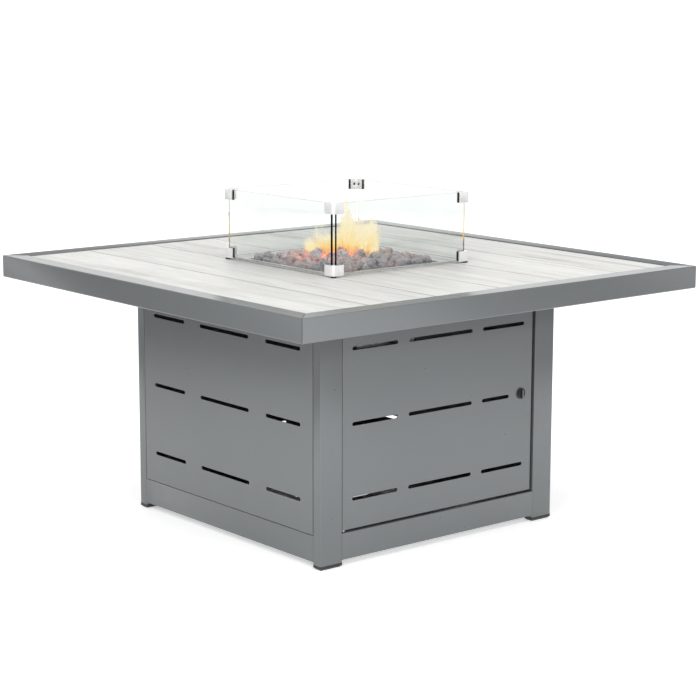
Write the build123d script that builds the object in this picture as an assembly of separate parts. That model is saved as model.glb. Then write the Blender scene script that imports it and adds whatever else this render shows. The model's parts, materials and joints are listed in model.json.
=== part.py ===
from build123d import *
import math
import os
import random

# ---------------------------------------------------------------- table top
TABLE_WIDTH = 1200.0        # along X
TABLE_DEPTH = 1200.0        # along Y
TABLE_HEIGHT = 632.0        # floor to the top of the rim
RIM_HEIGHT = 54.0
RIM_WIDTH = 46.0
RIM_WALL = 2.0
RIM_EDGE_RADIUS = 2.5
RIM_LEDGE = 14.0            # lip on the inner wall that carries the backer board
RIM_PROUD = 2.0             # rim stands this much above the planks
MITRE_GAP = 1.4
PLANK_THICKNESS = 9.0
PLANK_PITCH = 190.0
PLANK_JOINT = 2.0
PLANK_EDGE_BEVEL = 0.7
PLANK_COUNT = 6
SEAL_WIDTH = 3.0            # soft bead between the planks and the rim
SEAL_RECESS = 2.0
BACKER_THICKNESS = 8.0
BACKER_CLEARANCE = 1.0
BEAM_HEIGHT = 30.0
BEAM_WIDTH = 40.0
BEAM_WALL = 2.0

# --------------------------------------------------------------------- base
BASE_WIDTH = 724.0          # along X
BASE_DEPTH = 724.0          # along Y
LEG_WIDTH = 62.0            # along X
LEG_DEPTH = 27.0            # along Y
TUBE_WALL = 2.0
TUBE_RADIUS = 1.5
FOOT_HEIGHT = 10.0
FOOT_CHAMFER = 4.0
FOOT_PLUG = 25.0
RAIL_LIFT = 15.0            # floor to the underside of the bottom rails
RAIL_HEIGHT = 62.0
RAIL_DEPTH = 27.0
TOP_RAIL_HEIGHT = 27.0
FLOOR_LIFT = 33.5           # floor to the top of the bottle plate
FLOOR_THICKNESS = 1.5
FLOOR_FLANGE = 16.0
FLOOR_NOTCH = 3.0
FLOOR_VENT_LENGTH = 160.0
FLOOR_VENT_WIDTH = 12.0
FLOOR_VENT_PITCH = 45.0
FLOOR_VENT_COUNT = 5

# ---------------------------------------------------------- panels and door
SHEET = 2.0
PANEL_SIDE_GAP = 2.0
PANEL_END_GAP = 0.8
PANEL_FLANGE = 14.0
SLOT_HEIGHT = 9.0
ROW_SPACING_SHARE = 0.36    # rows of slots, as shares of the opening's height
ROW_MIDDLE_SHARE = 0.5157
SIDE_SLOT_LONG = 0.289      # slot lengths and spaces, as shares of the panel's width
SIDE_SLOT_SHORT = 0.193
SIDE_SLOT_SPACE = 0.097
FACE_SLOT_LONG = 0.334
FACE_SLOT_SHORT = 0.229
FACE_SLOT_SPACE = 0.056
LATCH_SLOT = 0.149          # the slot beside the latch is shorter
HINGE_GAP = 3.4             # door to leg at the hinged edge
LATCH_GAP = 7.0             # door to leg at the latched edge
DOOR_END_GAP = 5.0
DOOR_SET_IN = 3.5
DOOR_FLANGE = 18.0
HINGE_PIN_RADIUS = 3.0
HINGE_PIN_LENGTH = 26.0
HINGE_PIN_GRIP = 11.0
BUSH_WALL = 1.5
BUSH_SPACE = 0.5            # bush to the door's sheet
BUSH_LENGTH = 8.0
RUNNING_CLEARANCE = 0.05
RIVET_RADIUS = 2.0
RIVET_HEAD_RADIUS = 4.0
RIVET_HEAD = 1.2
RIVET_GRIP = 7.0
RIVET_END_SPACE = 40.0

# -------------------------------------------------------------------- latch
LATCH_INSET = 36.0          # latch axis to the door's free edge
LATCH_RISE = 2.0            # latch axis above the middle row of slots
LATCH_BEZEL_RADIUS = 13.5
LATCH_BEZEL = 2.4
LATCH_BARREL_RADIUS = 9.0
LATCH_SPINDLE_RADIUS = 4.0
LATCH_NUT_RADIUS = 14.0
LATCH_NUT = 4.0
LATCH_FACE_RADIUS = 10.0
LATCH_FACE = 2.0
LATCH_BAR_LENGTH = 19.0
LATCH_BAR_WIDTH = 4.5
LATCH_BAR = 5.0
CAM_LENGTH = 52.0
CAM_WIDTH = 18.0
CAM_THICKNESS = 3.0
CAM_BEHIND_LEG = 4.0
SPINDLE_HEAD_RADIUS = 5.5   # peened over behind the cam
SPINDLE_HEAD = 2.5

# ------------------------------------------------------------------- burner
PAN_OPENING = 326.0
PAN_DEPTH = 70.0
PAN_SHEET = 1.5
PAN_FLANGE = 20.0
PAN_LIP = 1.5
PAN_CUT_CLEARANCE = 3.0
BURNER_RING_RADIUS = 64.0
BURNER_TUBE_RADIUS = 9.0
CROSS_TUBE_RADIUS = 7.0
BURNER_LIFT = 22.0
BURNER_PORT_RADIUS = 1.2
BURNER_PORT_COUNT = 20
STEM_RADIUS = 8.0
MIXER_RADIUS = 13.0
MIXER_LENGTH = 58.0
MIXER_COLLAR_RADIUS = 20.0
MIXER_COLLAR = 4.0
GRATE_LIFT = 34.0
GRATE_BAR_WIDTH = 4.0
GRATE_BAR_HEIGHT = 5.0
GRATE_PITCH = 22.0
GRATE_EDGE_CLEARANCE = 4.0
GRATE_POST = 6.0
ROCK_ROWS = 6
ROCK_GAP = 3.0
ROCK_LOW = 34.0
ROCK_MOUND = 24.0
ROCK_SIDES = 6
ROCK_SEED = 11
ELECTRODE_OFFSET = 84.0
ELECTRODE_SLEEVE = 20.0
ELECTRODE_SLEEVE_RADIUS = 4.0
ELECTRODE_TIP = 8.0
ELECTRODE_RADIUS = 1.2

# ----------------------------------------------------------- glass guard
GUARD_SPACE = 25.0          # pan flange to the outside of the panes
GUARD_SHIFT_X = 10.0        # the guard stands loose, a little off the middle
GUARD_SHIFT_Y = 4.0
GLASS_THICKNESS = 6.0
GLASS_HEIGHT = 166.0
GLASS_LIFT = 6.0            # planks to the underside of the glass
GLASS_CORNER_GAP = 3.5      # each pane stops this far from the inside of its neighbour
CLIP_LENGTH = 32.0
CLIP_HEIGHT = 25.0
CLIP_WALL = 3.0
CLIP_FLOOR = 2.0
CLIP_CHAMFER = 5.0
LINER = 1.0
LINER_PROUD = 1.2
SET_SCREW_RADIUS = 2.5
SET_SCREW_PROUD = 0.8
GUARD_FOOT_RADIUS = 6.5

# ----------------------------------------------------------------- controls
PLATE_WIDTH = 170.0
PLATE_DROP = 80.0           # below the underside of the top rail
PLATE_THICKNESS = 2.0
CONTROL_CENTRE = -150.0     # along X
CONTROL_SPACING = 80.0
CONTROL_DROP = 41.0         # control axes below the top rail
KNOB_RADIUS = 18.0
KNOB_LENGTH = 14.0
KNOB_GAP = 1.0
KNOB_GRIP = 5.0
VALVE_WIDTH = 36.0
VALVE_LENGTH = 50.0
VALVE_SPINDLE_RADIUS = 4.0
VALVE_BORE_DEPTH = 16.0
INLET_RADIUS = 8.0
INLET_LENGTH = 18.0
INLET_HEX_RADIUS = 11.0
INLET_HEX = 8.0
INLET_BORE_RADIUS = 4.0
PIPE_RADIUS = 5.0
PIPE_WALL = 1.0
PIPE_BEND = 60.0
PIPE_NUT_RADIUS = 9.0
PIPE_NUT = 12.0
IGNITER_RADIUS = 13.0
IGNITER_LENGTH = 58.0
IGNITER_COLLAR_RADIUS = 16.0
IGNITER_COLLAR = 3.0
BUTTON_RADIUS = 8.7
BUTTON_CLEARANCE = 0.3
BUTTON_LENGTH = 20.0
BUTTON_PROUD = 7.0
BUTTON_TRAVEL = 5.0
BUTTON_SPARE = 2.0

# ------------------------------------------------------------ worked out
HALF_W = TABLE_WIDTH / 2
HALF_D = TABLE_DEPTH / 2
BASE_W = BASE_WIDTH / 2
BASE_D = BASE_DEPTH / 2
RIM_BOTTOM = TABLE_HEIGHT - RIM_HEIGHT
PLANK_TOP = TABLE_HEIGHT - RIM_PROUD
PLANK_BOTTOM = PLANK_TOP - PLANK_THICKNESS
BACKER_BOTTOM = PLANK_BOTTOM - BACKER_THICKNESS
BEAM_BOTTOM = BACKER_BOTTOM - BEAM_HEIGHT
RAIL_TOP = RAIL_LIFT + RAIL_HEIGHT
TOP_RAIL_BOTTOM = BEAM_BOTTOM - TOP_RAIL_HEIGHT
LEG_INNER_X = BASE_W - LEG_WIDTH
LEG_INNER_Y = BASE_D - LEG_DEPTH
FIELD_W = HALF_W - RIM_WIDTH - SEAL_WIDTH
FIELD_D = HALF_D - RIM_WIDTH - SEAL_WIDTH
CUT_HALF = PAN_OPENING / 2 + PAN_CUT_CLEARANCE
BEAM_OFFSET = CUT_HALF + BEAM_WIDTH / 2
PAN_FLOOR = PLANK_TOP + PAN_LIP - PAN_DEPTH
FLANGE_TOP = PLANK_TOP + PAN_LIP + PAN_SHEET
GRATE_TOP = PAN_FLOOR + PAN_SHEET + GRATE_LIFT + GRATE_BAR_HEIGHT
DOOR_LEFT = HINGE_GAP - LEG_INNER_X
DOOR_RIGHT = LEG_INNER_X - LATCH_GAP
DOOR_WIDTH = DOOR_RIGHT - DOOR_LEFT
DOOR_CENTRE = (DOOR_LEFT + DOOR_RIGHT) / 2
DOOR_BOTTOM = RAIL_TOP + DOOR_END_GAP
DOOR_TOP = TOP_RAIL_BOTTOM - DOOR_END_GAP
DOOR_FACE = -BASE_D + DOOR_SET_IN
BUSH_RADIUS = HINGE_PIN_RADIUS + BUSH_WALL
HINGE_INSET = SHEET + BUSH_RADIUS + BUSH_SPACE
HINGE_X = DOOR_LEFT + HINGE_INSET
HINGE_Y = DOOR_FACE + HINGE_INSET
OPENING_HEIGHT = TOP_RAIL_BOTTOM - RAIL_TOP
ROW_SPACING = ROW_SPACING_SHARE * OPENING_HEIGHT
ROW_MIDDLE = RAIL_TOP + ROW_MIDDLE_SHARE * OPENING_HEIGHT
ROWS = [ROW_MIDDLE + k * ROW_SPACING for k in (-1, 0, 1)]
LATCH_HEIGHT = ROW_MIDDLE + LATCH_RISE
LATCH_X = DOOR_RIGHT - LATCH_INSET
CAM_FRONT = -LEG_INNER_Y + CAM_BEHIND_LEG
PLATE_FRONT = -LEG_INNER_Y
PLATE_BACK = PLATE_FRONT + PLATE_THICKNESS
CONTROL_Z = TOP_RAIL_BOTTOM - CONTROL_DROP
VALVE_X = CONTROL_CENTRE - CONTROL_SPACING / 2
IGNITER_X = CONTROL_CENTRE + CONTROL_SPACING / 2
GUARD_HALF = PAN_OPENING / 2 + PAN_FLANGE + GUARD_SPACE
GLASS_CORNER_SPACE = GLASS_THICKNESS + GLASS_CORNER_GAP
GLASS_BOTTOM = PLANK_TOP + GLASS_LIFT
GLASS_TOP = GLASS_BOTTOM + GLASS_HEIGHT
CLIP_OUTER = GUARD_HALF + LINER + CLIP_WALL
CLIP_INNER = GUARD_HALF - GLASS_THICKNESS - LINER - CLIP_WALL
CORNERS = [(-1, -1), (1, -1), (1, 1), (-1, 1)]


# ---------------------------------------------------------------- helpers
def block(x0, x1, y0, y1, z0, z1):
    """A box between two corners."""
    centre = Pos((x0 + x1) / 2, (y0 + y1) / 2, (z0 + z1) / 2)
    return centre * Box(abs(x1 - x0), abs(y1 - y0), abs(z1 - z0))


def rod_x(x0, x1, y, z, radius):
    """A round bar along X."""
    return Pos((x0 + x1) / 2, y, z) * Rot(0, 90, 0) * Cylinder(radius, abs(x1 - x0))


def rod_y(y0, y1, x, z, radius):
    """A round bar along Y."""
    return Pos(x, (y0 + y1) / 2, z) * Rot(90, 0, 0) * Cylinder(radius, abs(y1 - y0))


def rod_z(z0, z1, x, y, radius):
    """A round bar along Z."""
    return Pos(x, y, (z0 + z1) / 2) * Cylinder(radius, abs(z1 - z0))


def hex_z(z0, z1, x, y, radius):
    """A hexagonal bar along Z."""
    return extrude(Pos(x, y, z0) * RegularPolygon(radius, 6), z1 - z0)


def tube(x0, x1, y0, y1, z0, z1, wall, axis, radius=TUBE_RADIUS):
    """A rectangular tube, open at both ends of the given axis."""
    outer = block(x0, x1, y0, y1, z0, z1)
    outer = fillet(outer.edges().filter_by(axis), radius)
    inset = {Axis.X: (0, wall, wall), Axis.Y: (wall, 0, wall), Axis.Z: (wall, wall, 0)}[axis]
    ix, iy, iz = inset
    return outer - block(x0 + ix, x1 - ix, y0 + iy, y1 - iy, z0 + iz, z1 - iz)


def save(name, *shapes):
    """Write one node, from one solid or from several separate ones."""
    solids = [solid for shape in shapes for solid in shape.solids()]
    node = solids[0] if len(solids) == 1 else Compound(solids)
    export_step(node, f"parts/{name}.step")


# ----------------------------------------------------------------- rivets
def side_rivet_heights():
    """Heights of the rivets along a panel's upright edges."""
    low = RAIL_TOP + RIVET_END_SPACE
    high = TOP_RAIL_BOTTOM - RIVET_END_SPACE
    return [low, (low + high) / 2, high]


def side_panel_rivets(sx):
    """Rivets along Y through the side panel's flanges into the legs."""
    x = sx * (BASE_W - PANEL_FLANGE / 2)
    inner = LEG_INNER_Y - PANEL_SIDE_GAP - SHEET
    rivets = []
    for z in side_rivet_heights():
        for sy in (-1, 1):
            shank = rod_y(sy * inner, sy * (inner + RIVET_GRIP), x, z, RIVET_RADIUS)
            head = rod_y(sy * (inner - RIVET_HEAD), sy * inner, x, z, RIVET_HEAD_RADIUS)
            rivets.append(shank + head)
    return rivets


def back_panel_rivets():
    """Rivets along X through the back panel's flanges into the legs."""
    y = BASE_D - PANEL_FLANGE / 2
    inner = LEG_INNER_X - PANEL_SIDE_GAP - SHEET
    rivets = []
    for z in side_rivet_heights():
        for sx in (-1, 1):
            shank = rod_x(sx * inner, sx * (inner + RIVET_GRIP), y, z, RIVET_RADIUS)
            head = rod_x(sx * (inner - RIVET_HEAD), sx * inner, y, z, RIVET_HEAD_RADIUS)
            rivets.append(shank + head)
    return rivets


RIVETS = side_panel_rivets(-1) + side_panel_rivets(1) + back_panel_rivets()


def drilled(shape):
    """The shape with a hole for every rivet that goes through it."""
    box = shape.bounding_box()
    for rivet in RIVETS:
        centre = rivet.center()
        reach = RIVET_GRIP + RIVET_HEAD
        near_x = box.min.X - reach < centre.X < box.max.X + reach
        near_y = box.min.Y - reach < centre.Y < box.max.Y + reach
        if near_x and near_y:
            shape = shape - rivet
    return shape


# ------------------------------------------------------------------- base
def leg(sx, sy):
    x0 = min(sx * BASE_W, sx * LEG_INNER_X)
    y0 = min(sy * BASE_D, sy * LEG_INNER_Y)
    body = tube(x0, x0 + LEG_WIDTH, y0, y0 + LEG_DEPTH, FOOT_HEIGHT, BEAM_BOTTOM, TUBE_WALL, Axis.Z)
    return drilled(body)


def foot_cap(sx, sy):
    """A moulded cap under a leg, with a plug that fits inside the tube."""
    x = sx * (BASE_W - LEG_WIDTH / 2)
    y = sy * (BASE_D - LEG_DEPTH / 2)
    cap = Pos(x, y, FOOT_HEIGHT / 2) * Box(LEG_WIDTH, LEG_DEPTH, FOOT_HEIGHT)
    cap = chamfer(cap.faces().sort_by(Axis.Z)[0].edges(), FOOT_CHAMFER)
    plug = block(
        x - LEG_WIDTH / 2 + TUBE_WALL,
        x + LEG_WIDTH / 2 - TUBE_WALL,
        y - LEG_DEPTH / 2 + TUBE_WALL,
        y + LEG_DEPTH / 2 - TUBE_WALL,
        FOOT_HEIGHT,
        FOOT_HEIGHT + FOOT_PLUG,
    )
    return cap + plug


def cross_rail(sy, z0, z1):
    """A rail along X between two legs."""
    y0 = min(sy * BASE_D, sy * (BASE_D - RAIL_DEPTH))
    return tube(-LEG_INNER_X, LEG_INNER_X, y0, y0 + RAIL_DEPTH, z0, z1, TUBE_WALL, Axis.X)


def side_rail(sx, z0, z1):
    """A rail along Y between two legs."""
    x0 = min(sx * BASE_W, sx * (BASE_W - RAIL_DEPTH))
    return tube(x0, x0 + RAIL_DEPTH, -LEG_INNER_Y, LEG_INNER_Y, z0, z1, TUBE_WALL, Axis.Y)


def floor_plate():
    """The folded sheet that the gas bottle stands on, with vents for leaked gas."""
    half_x = BASE_W - RAIL_DEPTH
    half_y = LEG_INNER_Y
    inner_x = half_x - FLOOR_THICKNESS
    inner_y = half_y - FLOOR_THICKNESS
    under = FLOOR_LIFT - FLOOR_THICKNESS
    plate = block(-half_x, half_x, -half_y, half_y, FLOOR_LIFT - FLOOR_FLANGE, FLOOR_LIFT)
    plate = plate - block(-inner_x, inner_x, -inner_y, inner_y, FLOOR_LIFT - FLOOR_FLANGE, under)
    for sx, sy in CORNERS:
        leg_x = sx * LEG_INNER_X
        notch = block(leg_x, sx * half_x, sy * (LEG_INNER_Y - FLOOR_NOTCH), sy * half_y, 0, FLOOR_LIFT)
        plate = plate - notch
    for k in range(FLOOR_VENT_COUNT):
        y = (k - (FLOOR_VENT_COUNT - 1) / 2) * FLOOR_VENT_PITCH
        slot = Pos(0, y, under) * SlotOverall(FLOOR_VENT_LENGTH, FLOOR_VENT_WIDTH)
        plate = plate - extrude(slot, FLOOR_THICKNESS)
    return plate


# ----------------------------------------------------------------- panels
def tray(width, z0, z1, flange):
    """A sheet with folded edges. Its face looks along -Y at y = 0."""
    shell = block(-width / 2, width / 2, 0, flange, z0, z1)
    shell = fillet(shell.faces().sort_by(Axis.Y)[0].edges(), SHEET / 2)
    inside = block(-width / 2 + SHEET, width / 2 - SHEET, SHEET, flange, z0 + SHEET, z1 - SHEET)
    return shell - inside


def slot_cut(x0, x1, z):
    """A cutter for one slot with round ends."""
    outline = Plane.XZ * Pos((x0 + x1) / 2, z) * SlotOverall(x1 - x0, SLOT_HEIGHT)
    return extrude(outline, 2 * SHEET, both=True)


def slot_row(z, long, short, space, last=None):
    """Cutters for one row: short, long, short. The last one can be shorter still."""
    side = long / 2 + space
    end = short if last is None else last
    cuts = slot_cut(-long / 2, long / 2, z)
    cuts = cuts + slot_cut(-side - short, -side, z)
    return cuts + slot_cut(side, side + end, z)


def slotted(shell, width, long, short, space, latch_row=None):
    """Cuts three rows of slots, with sizes given as shares of the width."""
    for z in ROWS:
        last = LATCH_SLOT * width if z == latch_row else None
        shell = shell - slot_row(z, long * width, short * width, space * width, last)
    return shell


def side_panel(sx):
    width = 2 * (LEG_INNER_Y - PANEL_SIDE_GAP)
    shell = tray(width, RAIL_TOP + PANEL_END_GAP, TOP_RAIL_BOTTOM - PANEL_END_GAP, PANEL_FLANGE)
    shell = slotted(shell, width, SIDE_SLOT_LONG, SIDE_SLOT_SHORT, SIDE_SLOT_SPACE)
    return drilled(Pos(sx * BASE_W, 0, 0) * Rot(0, 0, sx * 90) * shell)


def back_panel():
    width = 2 * (LEG_INNER_X - PANEL_SIDE_GAP)
    shell = tray(width, RAIL_TOP + PANEL_END_GAP, TOP_RAIL_BOTTOM - PANEL_END_GAP, PANEL_FLANGE)
    shell = slotted(shell, width, FACE_SLOT_LONG, FACE_SLOT_SHORT, FACE_SLOT_SPACE)
    return drilled(Pos(0, BASE_D, 0) * Rot(0, 0, 180) * shell)


def door():
    shell = tray(DOOR_WIDTH, DOOR_BOTTOM, DOOR_TOP, DOOR_FLANGE)
    shell = slotted(shell, DOOR_WIDTH, FACE_SLOT_LONG, FACE_SLOT_SHORT, FACE_SLOT_SPACE, ROWS[1])
    shell = Pos(DOOR_CENTRE, DOOR_FACE, 0) * shell
    shell = shell - rod_z(DOOR_BOTTOM, DOOR_BOTTOM + SHEET, HINGE_X, HINGE_Y, BUSH_RADIUS)
    shell = shell - rod_z(DOOR_TOP - SHEET, DOOR_TOP, HINGE_X, HINGE_Y, BUSH_RADIUS)
    return shell - rod_y(DOOR_FACE, DOOR_FACE + SHEET, LATCH_X, LATCH_HEIGHT, LATCH_BARREL_RADIUS)


def hinge_pins():
    """The lower and the upper pivot, fixed in the rails."""
    low = RAIL_TOP - HINGE_PIN_GRIP
    high = TOP_RAIL_BOTTOM + HINGE_PIN_GRIP
    lower = rod_z(low, low + HINGE_PIN_LENGTH, HINGE_X, HINGE_Y, HINGE_PIN_RADIUS)
    upper = rod_z(high - HINGE_PIN_LENGTH, high, HINGE_X, HINGE_Y, HINGE_PIN_RADIUS)
    return [lower, upper]


def hinge_bushes():
    """Nylon bushes in the door's folded ends."""
    bore = HINGE_PIN_RADIUS + RUNNING_CLEARANCE
    bushes = []
    for middle in (DOOR_BOTTOM + SHEET / 2, DOOR_TOP - SHEET / 2):
        z0 = middle - BUSH_LENGTH / 2
        ring = rod_z(z0, z0 + BUSH_LENGTH, HINGE_X, HINGE_Y, BUSH_RADIUS)
        bushes.append(ring - rod_z(z0, z0 + BUSH_LENGTH, HINGE_X, HINGE_Y, bore))
    return bushes


# ------------------------------------------------------------------ latch
def latch_housing():
    bezel_front = DOOR_FACE - LATCH_BEZEL
    back = CAM_FRONT - RUNNING_CLEARANCE
    bezel = rod_y(bezel_front, DOOR_FACE, LATCH_X, LATCH_HEIGHT, LATCH_BEZEL_RADIUS)
    barrel = rod_y(DOOR_FACE, back, LATCH_X, LATCH_HEIGHT, LATCH_BARREL_RADIUS)
    bore = LATCH_SPINDLE_RADIUS + RUNNING_CLEARANCE
    return bezel + barrel - rod_y(bezel_front, back, LATCH_X, LATCH_HEIGHT, bore)


def latch_nut():
    y0 = DOOR_FACE + SHEET
    blank = Plane(origin=(LATCH_X, y0, LATCH_HEIGHT), z_dir=(0, 1, 0)) * RegularPolygon(LATCH_NUT_RADIUS, 6)
    nut = extrude(blank, LATCH_NUT)
    return nut - rod_y(y0, y0 + LATCH_NUT, LATCH_X, LATCH_HEIGHT, LATCH_BARREL_RADIUS)


def latch_knob():
    """The turned face with its upright grip bar, and the spindle behind it."""
    back = DOOR_FACE - LATCH_BEZEL - RUNNING_CLEARANCE
    front = back - LATCH_FACE
    face = rod_y(front, back, LATCH_X, LATCH_HEIGHT, LATCH_FACE_RADIUS)
    half_w = LATCH_BAR_WIDTH / 2
    half_l = LATCH_BAR_LENGTH / 2
    bar = block(
        LATCH_X - half_w, LATCH_X + half_w, front - LATCH_BAR, front,
        LATCH_HEIGHT - half_l, LATCH_HEIGHT + half_l,
    )
    bar = fillet(bar.faces().sort_by(Axis.Y)[0].edges(), half_w / 2)
    behind = CAM_FRONT + CAM_THICKNESS
    spindle = rod_y(back, behind, LATCH_X, LATCH_HEIGHT, LATCH_SPINDLE_RADIUS)
    head = rod_y(behind, behind + SPINDLE_HEAD, LATCH_X, LATCH_HEIGHT, SPINDLE_HEAD_RADIUS)
    return face + bar + spindle + head


def latch_cam():
    """The tongue, hanging down when the latch is open."""
    half = CAM_WIDTH / 2
    outline = Plane.XZ * Pos(LATCH_X, LATCH_HEIGHT - (CAM_LENGTH - half) / 2) * Rot(0, 0, 90)
    outline = outline * SlotOverall(CAM_LENGTH + half, CAM_WIDTH)
    cam = Pos(0, CAM_FRONT + CAM_THICKNESS, 0) * extrude(outline, CAM_THICKNESS)
    return cam - rod_y(CAM_FRONT, CAM_FRONT + CAM_THICKNESS, LATCH_X, LATCH_HEIGHT, LATCH_SPINDLE_RADIUS)


# -------------------------------------------------------------- table top
def rim_section():
    """The rim's hollow section: u runs inward from the outer face, v runs up."""
    middle = Pos(RIM_WIDTH / 2, RIM_BOTTOM + RIM_HEIGHT / 2)
    outer = middle * RectangleRounded(RIM_WIDTH, RIM_HEIGHT, RIM_EDGE_RADIUS)
    inner = middle * Rectangle(RIM_WIDTH - 2 * RIM_WALL, RIM_HEIGHT - 2 * RIM_WALL)
    ledge = Pos(RIM_WIDTH + RIM_LEDGE / 2, BACKER_BOTTOM - RIM_WALL / 2) * Rectangle(RIM_LEDGE, RIM_WALL)
    return outer - inner + ledge


def rim_member(length, offset, turn):
    """One mitred side of the rim, built along X and turned into place."""
    section = Plane(origin=(-length / 2, -offset, 0), x_dir=(0, 1, 0), z_dir=(1, 0, 0)) * rim_section()
    bar = extrude(section, length)
    reach = RIM_WIDTH + RIM_LEDGE
    end = length / 2 - MITRE_GAP / 2
    plan = Polygon(
        (-end, -offset), (end, -offset),
        (end - reach, reach - offset), (reach - end, reach - offset), align=None,
    )
    mitred = bar & extrude(Pos(0, 0, RIM_BOTTOM) * plan, RIM_HEIGHT)
    return Rot(0, 0, turn) * mitred


def burner_cut(z0, z1):
    return block(-CUT_HALF, CUT_HALF, -CUT_HALF, CUT_HALF, z0, z1)


def plank_edges():
    """The planks' edges along X: whole planks about the middle, cut ones at the rim."""
    joints = [(k - PLANK_COUNT / 2) * PLANK_PITCH for k in range(1, PLANK_COUNT)]
    starts = [-FIELD_W] + [joint + PLANK_JOINT / 2 for joint in joints]
    ends = [joint - PLANK_JOINT / 2 for joint in joints] + [FIELD_W]
    return list(zip(starts, ends))


def plank(x0, x1):
    board = block(x0, x1, -FIELD_D, FIELD_D, PLANK_BOTTOM, PLANK_TOP)
    if x0 < CUT_HALF and x1 > -CUT_HALF:
        board = board - burner_cut(PLANK_BOTTOM, PLANK_TOP)
    return chamfer(board.faces().sort_by(Axis.Z)[-1].edges(), PLANK_EDGE_BEVEL)


def edge_seal():
    """The soft bead around the planks."""
    top = PLANK_TOP - SEAL_RECESS
    outer = block(
        -FIELD_W - SEAL_WIDTH, FIELD_W + SEAL_WIDTH,
        -FIELD_D - SEAL_WIDTH, FIELD_D + SEAL_WIDTH, PLANK_BOTTOM, top,
    )
    return outer - block(-FIELD_W, FIELD_W, -FIELD_D, FIELD_D, PLANK_BOTTOM, top)


def tile_backer():
    half_x = HALF_W - RIM_WIDTH - BACKER_CLEARANCE
    half_y = HALF_D - RIM_WIDTH - BACKER_CLEARANCE
    board = block(-half_x, half_x, -half_y, half_y, BACKER_BOTTOM, PLANK_BOTTOM)
    return board - burner_cut(BACKER_BOTTOM, PLANK_BOTTOM)


def long_beam(y):
    """A beam along X from rim ledge to rim ledge."""
    half = HALF_W - RIM_WIDTH - RIM_LEDGE - BACKER_CLEARANCE
    half_width = BEAM_WIDTH / 2
    return tube(-half, half, y - half_width, y + half_width, BEAM_BOTTOM, BACKER_BOTTOM, BEAM_WALL, Axis.X)


def short_beam(sx):
    """A beam along Y beside the burner, between the two inner long beams."""
    x = sx * BEAM_OFFSET
    half_width = BEAM_WIDTH / 2
    reach = BEAM_OFFSET - half_width
    left, right = x - half_width, x + half_width
    return tube(left, right, -reach, reach, BEAM_BOTTOM, BACKER_BOTTOM, BEAM_WALL, Axis.Y)


# ----------------------------------------------------------------- burner
def burner_pan():
    """The drop-in tray, with a flange that lies on the planks."""
    half = PAN_OPENING / 2
    wall = half + PAN_SHEET
    rim = half + PAN_FLANGE
    under = FLANGE_TOP - PAN_SHEET
    box = block(-wall, wall, -wall, wall, PAN_FLOOR, under)
    plate = block(-rim, rim, -rim, rim, PLANK_TOP, FLANGE_TOP)
    hollow = block(PAN_LIP - rim, rim - PAN_LIP, PAN_LIP - rim, rim - PAN_LIP, PLANK_TOP, under)
    pan = plate - hollow + box
    pan = pan - block(-half, half, -half, half, PAN_FLOOR + PAN_SHEET, FLANGE_TOP)
    return pan - rod_z(PAN_FLOOR, PAN_FLOOR + PAN_SHEET, 0, 0, STEM_RADIUS)


def burner_ring():
    """The ring with its ports, its cross tube and the stem down through the pan."""
    z = PAN_FLOOR + PAN_SHEET + BURNER_LIFT
    low = z - BURNER_TUBE_RADIUS
    high = z + BURNER_TUBE_RADIUS
    ring = rod_z(low, high, 0, 0, BURNER_RING_RADIUS + BURNER_TUBE_RADIUS)
    ring = ring - rod_z(low, high, 0, 0, BURNER_RING_RADIUS - BURNER_TUBE_RADIUS)
    ring = fillet(ring.edges().filter_by(GeomType.CIRCLE), BURNER_TUBE_RADIUS * 0.6)
    ring = ring + rod_x(-BURNER_RING_RADIUS, BURNER_RING_RADIUS, 0, z, CROSS_TUBE_RADIUS)
    ring = ring + rod_z(PAN_FLOOR - MIXER_COLLAR, z, 0, 0, STEM_RADIUS)
    for k in range(BURNER_PORT_COUNT):
        angle = math.tau * (k + 0.5) / BURNER_PORT_COUNT
        x = BURNER_RING_RADIUS * math.cos(angle)
        y = BURNER_RING_RADIUS * math.sin(angle)
        ring = ring - rod_z(z, z + 2 * BURNER_TUBE_RADIUS, x, y, BURNER_PORT_RADIUS)
    return ring


def air_mixer():
    """The mixing tube under the pan, with a socket for the gas pipe."""
    top = PAN_FLOOR
    body = rod_z(top - MIXER_LENGTH, top - MIXER_COLLAR, 0, 0, MIXER_RADIUS)
    body = body + rod_z(top - MIXER_COLLAR, top, 0, 0, MIXER_COLLAR_RADIUS)
    body = body - rod_z(top - MIXER_COLLAR, top, 0, 0, STEM_RADIUS)
    return body - rod_x(-MIXER_RADIUS, PIPE_RADIUS - MIXER_RADIUS, 0, CONTROL_Z, PIPE_RADIUS)


def rock_grate():
    """Bars that carry the rocks above the ring, on four posts."""
    half = PAN_OPENING / 2 - GRATE_EDGE_CLEARANCE
    top = GRATE_TOP
    low = top - GRATE_BAR_HEIGHT
    count = int((2 * half - GRATE_BAR_WIDTH) / GRATE_PITCH) + 1
    first = -(count - 1) * GRATE_PITCH / 2
    grate = block(-half, half, -half, -half + GRATE_POST, low, top)
    grate = grate + block(-half, half, half - GRATE_POST, half, low, top)
    for k in range(count):
        x = first + k * GRATE_PITCH
        grate = grate + block(x - GRATE_BAR_WIDTH / 2, x + GRATE_BAR_WIDTH / 2, -half, half, low, top)
    for sx, sy in CORNERS:
        corner_x = sx * half
        corner_y = sy * half
        post = block(
            corner_x, corner_x - sx * GRATE_POST,
            corner_y, corner_y - sy * GRATE_POST, PAN_FLOOR + PAN_SHEET, top,
        )
        grate = grate + post
    return grate


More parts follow.
